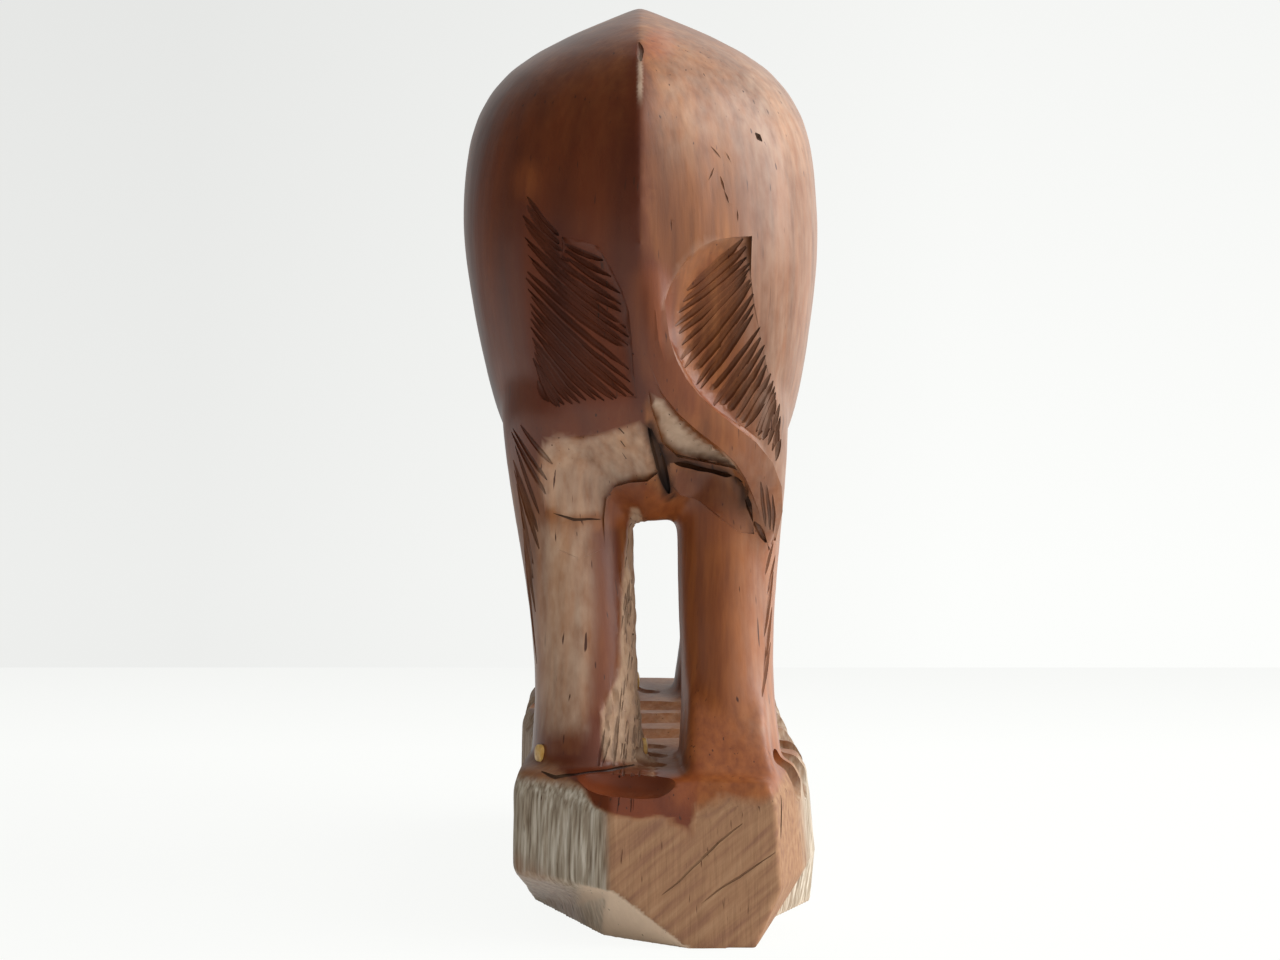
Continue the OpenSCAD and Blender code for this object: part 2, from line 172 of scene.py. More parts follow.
def hardwood(name, shade, gloss):
    # close-grained tropical hardwood, stained and varnished: red-brown depth under a thin shiny coat
    mat, tree = newMaterial(name)
    place = addNode(tree, "ShaderNodeTexCoord").outputs["Object"]
    fields, ramps, masks = {}, {}, {}
    for key, (across, along, detail, tilt) in woodGrain.items():
        stretched = addNode(tree, "ShaderNodeMapping", {
            "Vector": place, "Scale": (across * mm, across * mm, along * mm),
            "Rotation": (0, math.radians(tilt), 0)}, vector_type="TEXTURE").outputs[0]
        fields[key] = addNode(tree, "ShaderNodeTexNoise", {
            "Vector": stretched, "Scale": 1.0, "Detail": detail}).outputs[0]
    for key, (field, stops) in woodStops.items():
        ramps[key] = addNode(tree, "ShaderNodeValToRGB", {"Fac": fields[field]}, stops=stops).outputs[0]
    ragged = addNode(tree, "ShaderNodeMapRange", {
        "Value": fields["mottle"], "From Min": 0.3, "From Max": 0.7,
        "To Min": -woodFinish["ragged"], "To Max": woodFinish["ragged"]}).outputs[0]
    for key in ("paintedShade", "ochre", "raw", "grey", "creaseShadow", "worn", "dull"):
        mask = addNode(tree, "ShaderNodeAttribute", attribute_name=key).outputs["Fac"]
        masks[key] = mask
        if key not in ("paintedShade", "raw", "worn"):
            continue
        # where a mask is neither 0 nor 1 the mottling breaks it up, so no edge looks sprayed
        rest = addNode(tree, "ShaderNodeMath", {0: 1.0, 1: mask}, operation="SUBTRACT").outputs[0]
        edge = addNode(tree, "ShaderNodeMath", {0: mask, 1: rest}, operation="MULTIPLY").outputs[0]
        masks[key] = addNode(tree, "ShaderNodeMath", {0: edge, 1: ragged, 2: mask}, operation="MULTIPLY_ADD",
                             use_clamp=True).outputs[0]
    bare = addNode(tree, "ShaderNodeMix", {0: masks["grey"], 6: ramps["bare"], 7: ramps["grey"]},
                   data_type="RGBA").outputs[2]
    # the dark-brown layer is painted shade, the pale layer wear and painted highlights, the near-black one
    # painted shadow; shade makes darker copies of the wood
    layers = [("MULTIPLY", 0.5, ramps["streaks"]), ("MIX", masks["paintedShade"], ramps["paintedShadeBrown"]),
              ("MIX", masks["ochre"], ramps["ochre"]),
              ("MIX", ramps["patches"], linear(woodTints["patches"])),
              ("MIX", masks["raw"], bare), ("MIX", masks["worn"], linear(woodTints["worn"])),
              ("MIX", ramps["flecks"], linear(woodTints["flecks"])),
              ("MIX", masks["creaseShadow"], linear(woodTints["creaseShadow"])),
              ("MULTIPLY", 1.0, [shade, shade, shade, 1])]
    colour = ramps["stained"]
    for mode, share, over in layers:
        colour = addNode(tree, "ShaderNodeMix", {0: share, 6: colour, 7: over},
                         data_type="RGBA", blend_type=mode).outputs[2]
    rough = addNode(tree, "ShaderNodeMapRange", {
        "Value": masks["dull"], "To Min": gloss, "To Max": woodFinish["mattRough"]}).outputs[0]
    coat = addNode(tree, "ShaderNodeMapRange", {
        "Value": masks["dull"], "To Min": woodFinish["coat"], "To Max": 0.0}).outputs[0]
    relief = addNode(tree, "ShaderNodeMath", {0: fields["grain"], 1: fields["weather"]},
                     operation="ADD").outputs[0]
    depth = addNode(tree, "ShaderNodeMapRange", {
        "Value": masks["raw"], "To Min": woodFinish["smoothBump"],
        "To Max": woodFinish["rawBump"]}).outputs[0]
    bump = addNode(tree, "ShaderNodeBump", {
        "Strength": depth, "Distance": woodFinish["bumpDepth"] * mm, "Height": relief}).outputs[0]
    shader = addNode(tree, "ShaderNodeBsdfPrincipled", {
        "Base Color": colour, "Roughness": rough, "IOR": 1.5, "Specular IOR Level": woodFinish["specular"],
        "Coat Weight": coat, "Coat Roughness": woodFinish["coatRough"], "Normal": bump}).outputs[0]
    addNode(tree, "ShaderNodeOutputMaterial", {"Surface": shader})
    return mat


def inlay(name, light, dark, rough, grainSize):
    # small pieces of another wood, sanded and polished: fine grain under a soft shine
    mat, tree = newMaterial(name)
    place = addNode(tree, "ShaderNodeTexCoord").outputs["Object"]
    noise = addNode(tree, "ShaderNodeTexNoise", {
        "Vector": place, "Scale": 1000 / grainSize, "Detail": 3.0}).outputs[0]
    colour = addNode(tree, "ShaderNodeValToRGB", {"Fac": noise},
                     stops=[(0.32, dark), (0.62, light)]).outputs[0]
    bump = addNode(tree, "ShaderNodeBump", {
        "Strength": 0.2, "Distance": 0.2 * mm, "Height": noise}).outputs[0]
    shader = addNode(tree, "ShaderNodeBsdfPrincipled", {
        "Base Color": colour, "Roughness": rough, "IOR": 1.5, "Normal": bump}).outputs[0]
    addNode(tree, "ShaderNodeOutputMaterial", {"Surface": shader})
    return mat


varnished = hardwood("varnished red-brown hardwood", 1.0, 0.4)  # red-brown with a soft shine
gouged = hardwood("gouged hardwood with painted shade in cuts", 0.7, 0.5)  # darker and duller: painted shade in the gouge cuts
paintedShadowWood = hardwood("near-black painted shadow in cuts", 0.3, 0.8)  # almost black and matt: painted shadow in cracks, pits and under the tail
paleWood = inlay("polished pale wood", "#e2ba70", "#cd9c50", 0.35, 1.6)  # warm yellow, softly shining
blackWood = inlay("polished black wood", "#1a1310", "#0b0807", 0.15, 2.0)  # near black with a sharp glint
print("materials made")


# the block: CAD solid, its inlay pockets closed, turned into an even skin that can be carved
# footFlow fills the step between the right hind foot and the edge of the ground
blockSpec = {
    "voxel": 0.85, "smoothing": 36, "triangles": 190000, "knife": 0.22, "saw": 0.8, "torn": 2.6,
    "pocketRoom": 0.25, "plugGrowth": 1.04, "tuskRoot": (21.7, -118.8, 179.7), "tuskSpared": (16, 24),
    "footFlow": [
        [(-14, 60, 74), (-35, 60, 74), (-12.5, 78, 50), (-37, 77, 50), (-12, 62, 44), (-38, 60, 44)],
        [(-14, 74, 56), (-36, 73, 56), (-13, 88, 41), (-39.5, 85, 41.5), (-12, 70, 40), (-40, 64, 40)]]}


def closedBlock():
    bm = bmesh.new()
    bm.from_mesh(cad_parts["carved_block"].data)
    bmesh.ops.remove_doubles(bm, verts=bm.verts, dist=0.01 * mm)
    room = Vector((blockSpec["pocketRoom"] * mm,) * 3)
    plugs = []
    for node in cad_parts:
        if "toenail" in node or "eye" in node:
            low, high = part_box(node)
            low, high = low - room, high + room
            plugs.append([v.co.copy() for v in bm.verts
                          if all(low[i] <= v.co[i] <= high[i] for i in range(3))])
    for plug in plugs:
        middle = sum(plug, Vector()) / len(plug)
        made = [bm.verts.new(middle + (co - middle) * blockSpec["plugGrowth"]) for co in plug]
        hull = bmesh.ops.convex_hull(bm, input=made)
        loose = {v for v in hull["geom_interior"] + hull["geom_unused"] if isinstance(v, bmesh.types.BMVert)}
        bmesh.ops.delete(bm, geom=list(loose), context="VERTS")
    for fill in blockSpec["footFlow"]:
        bmesh.ops.convex_hull(bm, input=[bm.verts.new(Vector(p) * mm) for p in fill])
    bmesh.ops.triangulate(bm, faces=bm.faces)
    mesh = bpy.data.meshes.new("carving")
    bm.to_mesh(mesh)
    bm.free()
    return mesh


carving = addObject("carving", closedBlock())
remesh = carving.modifiers.new("skin", "REMESH")
remesh.mode = "VOXEL"
remesh.voxel_size = blockSpec["voxel"] * mm
bake(carving)
print("skin:", len(carving.data.polygons), "faces")


def neighbourMean(co, ends, count):
    out = np.empty_like(co)
    for k in range(3):
        out[:, k] = (np.bincount(ends[:, 0], co[ends[:, 1], k], len(co))
                     + np.bincount(ends[:, 1], co[ends[:, 0], k], len(co))) / count
    return out


def softened(mesh, rounds):
    # wears the CAD facets away, but spares the ridge of the rump, the hewn ground and the roots of the tusks
    co = points(mesh)
    ends = edgesOf(mesh)
    count = np.bincount(ends.ravel(), minlength=len(co))
    fromRidge = np.abs(co[:, 0] - leanAt(co[:, 2]))
    onRidge = ((co[:, 1] > 40) & (co[:, 2] > 130)) | (co[:, 2] > 244)
    keep = np.where(onRidge, 0.25 + 0.75 * ease(fromRidge, 0.2, 3.5), 1.0)
    onGround = 1 - ease(co[:, 2], 40, 50)
    wornFace = ease(co[:, 0], 14, 20) * ease(co[:, 1], 25, 45) * ease(co[:, 2], 4, 8)
    keep = keep * (1 - 0.9 * onGround * (1 - 0.8 * wornFace))
    keep = keep * np.where(co[:, 2] < 1.5, 0, 1)
    fromTusk = np.linalg.norm(np.abs(co) * (1, 0, 0) + co * (0, 1, 1) - blockSpec["tuskRoot"], axis=1)
    keep = keep * (0.12 + 0.88 * ease(fromTusk, *blockSpec["tuskSpared"]))
    for _ in range(rounds):
        co = co + (neighbourMean(co, ends, count) - co) * (0.5 * keep)[:, None]
    putPoints(mesh, co)


softened(carving.data, blockSpec["smoothing"])


# tool marks: low knife facets everywhere, saw furrows and torn fibres where the masks say
# each has its size across and along the block in millimetres
toolMarks = {"Knife": (15, 22), "Saw": (1.9, 34), "Torn": (1.8, 16)}


def toolMarkGroup():
    tree = bpy.data.node_groups.new("tool marks", "GeometryNodeTree")
    sockets = [("Skin", "Geometry"), ("Knife", "Float"), ("Saw", "Float"), ("Torn", "Float"), ("Seed", "Int"),
               ("Wood", "Material")]
    for name, kind in sockets:
        tree.interface.new_socket(name, in_out="INPUT", socket_type="NodeSocket" + kind)
    tree.interface.new_socket("Marked", in_out="OUTPUT", socket_type="NodeSocketGeometry")
    given = addNode(tree, "NodeGroupInput").outputs
    place = addNode(tree, "GeometryNodeInputPosition").outputs[0]
    total = None
    for key, (across, along) in toolMarks.items():
        stretched = addNode(tree, "ShaderNodeVectorMath", {
            0: place, 1: (1000 / across, 1000 / across, 1000 / along)}, operation="MULTIPLY").outputs[0]
        noise = addNode(tree, "ShaderNodeTexNoise", {
            "Vector": stretched, "W": given["Seed"], "Scale": 1.0, "Detail": 2.0},
            noise_dimensions="4D").outputs[0]
        height = addNode(tree, "ShaderNodeMath", {0: noise, 1: 0.5}, operation="SUBTRACT").outputs[0]
        height = addNode(tree, "ShaderNodeMath", {0: height, 1: given[key]}, operation="MULTIPLY").outputs[0]
        if key != "Knife":
            mask = addNode(tree, "GeometryNodeInputNamedAttribute", {"Name": key.lower()},
                           data_type="FLOAT").outputs[0]
            height = addNode(tree, "ShaderNodeMath", {0: height, 1: mask}, operation="MULTIPLY").outputs[0]
        if total:
            height = addNode(tree, "ShaderNodeMath", {0: total, 1: height}).outputs[0]
        total = height
    normal = addNode(tree, "GeometryNodeInputNormal").outputs[0]
    offset = addNode(tree, "ShaderNodeVectorMath", {0: normal, "Scale": total}, operation="SCALE").outputs[0]
    skin = addNode(tree, "GeometryNodeSetPosition", {"Geometry": given["Skin"], "Offset": offset}).outputs[0]
    skin = addNode(tree, "GeometryNodeRealizeInstances", {"Geometry": skin}).outputs[0]
    skin = addNode(tree, "GeometryNodeSetMaterial", {"Geometry": skin, "Material": given["Wood"]}).outputs[0]
    addNode(tree, "NodeGroupOutput", {"Marked": skin})
    return tree


def setInputs(modifier, group, values):
    modifier.node_group = group
    for item in group.interface.items_tree:
        if item.in_out == "INPUT" and item.name in values:
            modifier[item.identifier] = values[item.name]


def toSegment(at, p, q):
    step = q - p
    share = np.clip(((at - p) @ step) / (step @ step), 0, 1)
    return np.linalg.norm(at - p - share[:, None] * step, axis=1)


def insideOutline(at, ring):
    inside = np.zeros(len(at), bool)
    for p, q in zip(ring, np.roll(ring, -1, 0)):
        crossed = (p[1] > at[:, 1]) != (q[1] > at[:, 1])
        inside ^= crossed & (at[:, 0] < (q[0] - p[0]) * (at[:, 1] - p[1]) / (q[1] - p[1] + 1e-9) + p[0])
    return inside


def zone(co, outline, soft=1.5):
    # 1 inside an outline of x and z, fading to 0 over a soft edge
    ring, at = np.array(outline, float), co[:, [0, 2]]
    nearest = np.minimum.reduce([toSegment(at, p, q) for p, q in zip(ring, np.roll(ring, -1, 0))])
    return ease(np.where(insideOutline(at, ring), nearest, -nearest), -soft, soft)


def nearLine(co, line, width):
    # 1 on a polyline of x, y and z, fading to 0 at a width from it
    line = np.array(line, float)
    nearest = np.minimum.reduce([toSegment(co, p, q) for p, q in zip(line, line[1:])])
    return 1 - ease(nearest, 0.35 * width, width)


# left back face of the ground, and the torn inner side of the left hind leg
greyFace = [(10, 43), (50, 43), (50, -1), (5, -1), (9, 12)]
tornStrip = [(2.4, 119), (5, 98), (6, 72), (11, 62), (10.6, 49), (-4, 46), (-3, 90), (-2, 112), (0.6, 119)]


def markSkin():
    co = points(carving.data)
    putFloats(carving.data, "saw", zone(co, greyFace) * ease(co[:, 1], 20, 50) * (1 - ease(co[:, 2], 38, 43))
              * ease(co[:, 2], 12, 18))
    putFloats(carving.data, "torn", zone(co, tornStrip, 2) * ease(co[:, 1], 40, 52))
    marks = carving.modifiers.new("tool marks", "NODES")
    setInputs(marks, toolMarkGroup(), {
        "Knife": blockSpec["knife"] * mm * 2, "Saw": blockSpec["saw"] * mm * 2,
        "Torn": blockSpec["torn"] * mm * 2, "Seed": 4, "Wood": varnished})
    bake(carving)


markSkin()
thin = carving.modifiers.new("thin", "DECIMATE")
thin.ratio = blockSpec["triangles"] / (2 * len(carving.data.polygons))
bake(carving)
carving.data.materials.clear()
carving.data.materials.append(varnished)
print("softened:", len(carving.data.polygons), "triangles")


# looking at the block from one side: 0 from behind, 90 from its left; u runs across, z up
def caster(obj):
    return BVHTree.FromObject(obj, bpy.context.evaluated_depsgraph_get())


def onSurface(tree, u, z, azimuth=0.0):
    a = math.radians(azimuth)
    out = Vector((math.sin(a), math.cos(a), 0))
    across = Vector((math.cos(a), -math.sin(a), 0))
    found = tree.ray_cast((across * u + Vector((0, 0, z))) * mm + out * 0.4, -out)[0]
    return found * 1000 if found else None


def carve(cutter, operation="DIFFERENCE"):
    cut = carving.modifiers.new("cut", "BOOLEAN")
    cut.object = cutter
    cut.operation = operation
    cut.solver = "MANIFOLD"
    cut.material_mode = "TRANSFER"
    bake(carving)
    bpy.data.objects.remove(cutter)
    print("carved:", len(carving.data.polygons), "faces")


def solid(name, verts, faces, material):
    mesh = bpy.data.meshes.new(name)
    bm = bmesh.new()
    made = [bm.verts.new(Vector(v) * mm) for v in verts]
    for face in faces:
        bm.faces.new([made[i] for i in face])
    bmesh.ops.recalc_face_normals(bm, faces=bm.faces)
    bm.to_mesh(mesh)
    bm.free()
    mesh.materials.append(material)
    return addObject(name, mesh)


# hollows: a rim and some floor points, each u, z and a depth below the surface
hollows = {
    "right scoop": {
        "mirror": True,
        "rim": [(-31.3, 196.9, 1.8), (-26.4, 196.9, 0.6), (-20.8, 196.2, 0.2), (-16.6, 194.4, 0.1),
                (-13, 191.5, 0.1), (-10, 187.1, 0.1), (-8, 183.3, 0.1), (-6.6, 178.8, 0.1),
                (-6.6, 174.7, 0.1), (-7.7, 170.5, 0.1), (-9.4, 166.2, 0.1), (-11.4, 162.2, 0.1),
                (-13.9, 157.2, 0.2), (-16.7, 153.1, 0.3), (-20.4, 149.1, 0.5), (-24.4, 146.1, 0.6),
                (-28.9, 143.2, 0.6), (-33.8, 139.1, 0.4), (-38.5, 142, 0.05), (-37.8, 150, 0.05),
                (-36, 158.7, 0.05), (-34.3, 166.1, 0.05), (-33.2, 171.8, 0.05), (-31.8, 179, 0.05),
                (-31, 186, 0.1), (-31.1, 191, 1.4)],
        "floor": [(-28.6, 194, 2.6), (-22, 193, 3), (-18.4, 190.4, 3.2), (-15.2, 186.6, 3.4),
                  (-12.4, 181.4, 3.5), (-11, 176.8, 3.5), (-11.2, 172.2, 3.5), (-13.2, 165.6, 3.4),
                  (-16, 159.4, 3.2), (-20, 153.6, 2.8), (-25, 149.4, 2.2), (-31, 145, 1.4), (-28, 188, 1.6),
                  (-20, 182, 2.6), (-19, 172, 2.5), (-27, 170, 1), (-24, 160, 1.8), (-33, 152, 0.6)]},
    "left scoop": {
        "rim": [(21.7, 197, 0.9), (16.6, 196.3, 0.2), (11.6, 194.8, 0.2), (8, 188.8, 0.2), (5, 182.8, 0.2),
                (3, 176.7, 0.2), (2.2, 167.5, 0.2), (1.7, 159.9, 0.2), (0.8, 152.5, 0.2), (8, 153, 0.1),
                (16, 158, 0.1), (20, 168, 0.1), (21.6, 180, 0.2), (21.8, 190, 0.8)],
        "floor": [(19.6, 194.4, 2.2), (13, 191.6, 2.6), (9.6, 185, 2.8), (7, 179.4, 2.8), (5.2, 173.4, 2.6),
                  (4.6, 166, 2.2), (4.2, 160, 1.6), (18, 184, 1.2), (14, 176, 1.3), (12, 166, 0.9)]},
    "left buttock": {
        "rim": [(28, 140.4, -0.1), (22, 140.2, 0.3), (16.9, 140.6, 0.2), (12.4, 141.2, 0.2),
                (7, 143.6, 0.2), (0, 146.2, 0.2), (-3.4, 143, 0.5), (-5.6, 134, 1.6), (-4.9, 130, 2),
                (-2, 127.6, 2.2), (3, 127, 2.2), (7.4, 125.4, 2), (9.6, 121.6, 1.4), (10.2, 116, 0.8),
                (10, 108, -0.1), (17, 105, -0.1), (24, 108, -0.1), (27, 117, -0.1), (28.6, 130, -0.1)],
        "floor": [(20, 135, 1.8), (12, 135.4, 1.8), (4, 137, 2.2), (23, 130, 3.1), (16, 128.6, 3.3),
                  (10.6, 127.4, 3.2), (3, 129, 3.2), (22, 117.6, 1.2), (16, 117, 1.4)]},
    "below the tail": {
        "rim": [(-2.4, 154.5, 0.1), (-7.5, 152.5, 0.1), (-12, 147.4, 0.1), (-18.6, 142.4, 0.2),
                (-23.3, 138.6, 0.3), (-29, 134.8, 0.4), (-29.8, 130.6, 3.4), (-21.3, 132, 4.8),
                (-10.8, 134.6, 5.2), (-6.2, 139, 4.6), (-4.5, 145, 3), (-3, 150, 1.2)],
        "floor": []},
    "under the tail": {
        "rim": [(-8.4, 133, 2.4), (-13, 133.6, 3.6), (-19, 131, 4), (-24.6, 130, 4), (-29, 127, 3.4),
                (-31.6, 121, 2.6), (-32.4, 112, 0.6), (-28, 112.6, 0.1), (-23, 116.4, 0.1), (-17, 121, 0.1),
                (-11.6, 122.8, 0.1), (-9, 126, 0.8)],
        "floor": [(-13, 130.4, 3.2), (-19, 128, 3.6), (-25, 126, 3.4), (-29.4, 119.6, 2)]},
}


def hollow(name, spec, tree, lift=7.0, grid=1.7):
    rim, floor = spec["rim"], spec.get("floor", [])
    given = np.array(rim + floor, float)
    ring = given[:len(rim), :2]
    low, high = ring.min(0), ring.max(0)
    us, zs = np.meshgrid(np.arange(low[0], high[0], grid), np.arange(low[1], high[1], grid))
    loose = np.column_stack([us.ravel(), zs.ravel()])
    gap = np.linalg.norm(loose[:, None] - given[None, :, :2], axis=2)
    loose = loose[insideOutline(loose, ring) & (gap.min(1) > 0.8)]
    flat = np.vstack([given[:, :2], loose])
    edges = [(i, (i + 1) % len(rim)) for i in range(len(rim))]
    flatOut, _, triangles, origin, _, _ = delaunay_2d_cdt([Vector(p) for p in flat], edges, [], 1, 1e-4)
    # depths between the given points follow a sum of cones, which leaves no dimples
    reach = np.linalg.norm(given[:, None, :2] - given[None, :, :2], axis=2)
    cones = np.linalg.solve(reach + 1e-6 * np.eye(len(given)), given[:, 2])
    depth = np.linalg.norm(flat[:, None] - given[None, :, :2], axis=2) @ cones
    lows, highs = [], []
    for (u, z), sources in zip(flatOut, origin):
        # on the tail's side of the rump the untouched surface is read off its mirror image
        aimed = 2 * float(leanAt(z)) - u if spec.get("mirror") else u
        at = onSurface(tree, aimed, z)
        lows.append((u, at.y - depth[sources[0]], z))
        highs.append((u, at.y + lift, z))
    count = len(lows)
    faces = [list(t) for t in triangles] + [[i + count for i in reversed(t)] for t in triangles]
    used = {}
    for t in triangles:
        for a, b in zip(t, list(t[1:]) + [t[0]]):
            used[(a, b)] = True
    for a, b in used:
        if (b, a) not in used:
            faces.append([b, a, a + count, b + count])
    return solid(name, lows + highs, faces, varnished)


for name, spec in hollows.items():
    carve(hollow(name, spec, caster(carving)))

# tail: flat face, sharp upper edge, underside cut back to a slope
# each row is x, z, half width, rise off the rump, size of the slope below and thickness
tailRows = [
    (-2.8, 199, 2.4, -2.8, 0.2, 6), (-3, 192, 3, -2, 0.2, 7), (-3.3, 184, 3.3, -1.1, 0.2, 7),
    (-3.6, 177, 3.5, -0.3, 0.2, 7), (-4.4, 169, 3.8, 0.4, 0.3, 7), (-6.2, 162, 4.2, 0.5, 0.4, 7),
    (-9.2, 155.6, 4.4, 0.6, 0.5, 6), (-13.6, 150, 4.4, 0.6, 0.6, 5), (-18.6, 145.2, 4.3, 0.6, 0.7, 5),
    (-24, 140.8, 4.2, 0.5, 0.8, 5), (-29.2, 136.2, 4.6, 0.5, 0.8, 5), (-33, 130.8, 5, 0.4, 0.6, 5),
    (-35.4, 124.6, 4.8, 0.2, 0.4, 4), (-36.8, 118, 3.6, 0, 0.2, 3), (-37.4, 108.6, 1.2, -0.4, 0.1, 2)]


def tailStrip(tree):
    path = []
    for x, z, _, rise, _, _ in tailRows:
        at = onSurface(tree, x, z)
        path.append(np.array([x, at.y + rise, z]))
    rings = []
    for i, (x, z, half, _, slope, thick) in enumerate(tailRows):
        along = path[min(i + 1, len(path) - 1)] - path[max(i - 1, 0)]
        along = along / np.linalg.norm(along)
        out = np.array([0, 1, 0]) - along * along[1]
        out = out / np.linalg.norm(out)
        side = np.cross(out, along)
        sunk = 1.6 * float(ease(z, 152, 164))
        profile = [(half, -0.7), (0.2 * half, 0.25), (-0.75 * half, -sunk),
                   (-0.75 * half - slope, -1.25 * slope - 0.2 - sunk),
                   (-0.75 * half - 0.4 * slope, -1.25 * slope - thick), (half * 0.9, -thick)]
        rings.append([path[i] + side * s + out * n for s, n in profile])
    size = len(rings[0])
    verts = [p for ring in rings for p in ring]
    faces = [[j * size + i, j * size + (i + 1) % size, (j + 1) * size + (i + 1) % size, (j + 1) * size + i]
             for j in range(len(rings) - 1) for i in range(size)]
    faces += [list(range(size)), [(len(rings) - 1) * size + i for i in range(size)]]
    return solid("tail strip", verts, faces, varnished)


carve(tailStrip(caster(carving)), "UNION")


# dished sockets, so that the eyes stay clear of the softened skin: reach beyond the eye and radius
def eyeSocket(name, reach=3.0, radius=4.9):
    low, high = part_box(name)
    middle = (low + high) / 2
    side = 1 if middle.x > 0 else -1
    middle.x = (high.x if side > 0 else low.x) + side * reach * mm
    bm = bmesh.new()
    bmesh.ops.create_uvsphere(bm, u_segments=32, v_segments=20, radius=radius * mm)
    bmesh.ops.translate(bm, verts=bm.verts, vec=middle)
    mesh = bpy.data.meshes.new("eye socket")
    bm.to_mesh(mesh)
    bm.free()
    mesh.materials.append(varnished)
    return addObject("eye socket", mesh)


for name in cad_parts:
    if "eye" in name:
        carve(eyeSocket(name))


# gouge strokes: polylines with a radius at each point become tapering round cutters
def strokeGroup():
    tree = bpy.data.node_groups.new("gouge strokes", "GeometryNodeTree")
    sockets = [("Strokes", "Geometry"), ("Sides", "Int"), ("Step", "Float"), ("Wobble", "Float"),
               ("Seed", "Int"), ("Wood", "Material")]
    for name, kind in sockets:
        tree.interface.new_socket(name, in_out="INPUT", socket_type="NodeSocket" + kind)
    tree.interface.new_socket("Cutters", in_out="OUTPUT", socket_type="NodeSocketGeometry")
    given = addNode(tree, "NodeGroupInput").outputs
    line = addNode(tree, "GeometryNodeMeshToCurve", {"Mesh": given["Strokes"]}).outputs[0]
    line = addNode(tree, "GeometryNodeResampleCurve", {"Curve": line, "Length": given["Step"]},
                   mode="LENGTH").outputs[0]
    place = addNode(tree, "GeometryNodeInputPosition").outputs[0]
    noise = addNode(tree, "ShaderNodeTexNoise", {"Vector": place, "W": given["Seed"], "Scale": 150.0},
                    noise_dimensions="4D").outputs["Color"]
    shift = addNode(tree, "ShaderNodeVectorMath", {0: noise, 1: (0.5, 0.5, 0.5)},
                    operation="SUBTRACT").outputs[0]
    shift = addNode(tree, "ShaderNodeVectorMath", {0: shift, "Scale": given["Wobble"]},
                    operation="SCALE").outputs[0]
    line = addNode(tree, "GeometryNodeSetPosition", {"Geometry": line, "Offset": shift}).outputs[0]
    # a stroke swells quickly from a fine point, and runs out the same way
    share = addNode(tree, "GeometryNodeSplineParameter").outputs["Factor"]
    arc = addNode(tree, "ShaderNodeMath", {0: share, 1: math.pi}, operation="MULTIPLY").outputs[0]
    arc = addNode(tree, "ShaderNodeMath", {0: arc}, operation="SINE").outputs[0]
    arc = addNode(tree, "ShaderNodeMath", {0: arc, 1: 0.04}, operation="MAXIMUM").outputs[0]
    arc = addNode(tree, "ShaderNodeMath", {0: arc, 1: 0.45}, operation="POWER").outputs[0]
    size = addNode(tree, "GeometryNodeInputNamedAttribute", {"Name": "gouge"}, data_type="FLOAT").outputs[0]
    size = addNode(tree, "ShaderNodeMath", {0: size, 1: arc}, operation="MULTIPLY").outputs[0]
    ring = addNode(tree, "GeometryNodeCurvePrimitiveCircle", {
        "Resolution": given["Sides"], "Radius": 1.0}).outputs[0]
    body = addNode(tree, "GeometryNodeCurveToMesh", {
        "Curve": line, "Profile Curve": ring, "Scale": size, "Fill Caps": True}).outputs[0]
    body = addNode(tree, "GeometryNodeRealizeInstances", {"Geometry": body}).outputs[0]
    body = addNode(tree, "GeometryNodeSetMaterial", {"Geometry": body, "Material": given["Wood"]}).outputs[0]
    addNode(tree, "NodeGroupOutput", {"Cutters": body})
    return tree


gougeStrokes = strokeGroup()


def strokes(name, lines, wood, sides=8, step=1.5, wobble=0.5, seed=3):
    # each line is a list of x, y, z and radius
    mesh = bpy.data.meshes.new(name)
    verts, edges, sizes = [], [], []
    for line in lines:
        edges += [(len(verts) + i, len(verts) + i + 1) for i in range(len(line) - 1)]
        verts += [Vector(p[:3]) * mm for p in line]
        sizes += [p[3] * mm for p in line]
    mesh.from_pydata(verts, edges, [])
    putFloats(mesh, "gouge", sizes)
    obj = addObject(name, mesh)
    setInputs(obj.modifiers.new(name, "NODES"), gougeStrokes, {
        "Sides": sides, "Step": step * mm, "Wobble": wobble * mm, "Seed": seed, "Wood": wood})
    return bake(obj)


def between(guides, perGap):
    # fills in strokes between the guide strokes
    out = []
    for a, b in zip(guides, guides[1:]):
        for k in range(perGap):
            t = k / perGap
            out.append([tuple(p + (q - p) * t for p, q in zip(m, n)) for m, n in zip(a, b)])
    return out + [guides[-1]]


def laid(tree, ends, radius, sink, sag=0.0, count=7, azimuth=0.0):
    # a stroke from one end to the other over the surface, its middle sunk to the wanted depth
    (u0, z0), (u1, z1) = ends
    line = []
    for k in range(count):
        t = k / (count - 1)
        u, z = u0 + (u1 - u0) * t, z0 + (z1 - z0) * t - sag * math.sin(math.pi * t)
        at = onSurface(tree, u, z, azimuth)
        if at:
            a = math.radians(azimuth)
            at = at + Vector((math.sin(a), math.cos(a), 0)) * (radius - sink)
            line.append((at.x, at.y, at.z, radius))
    return line


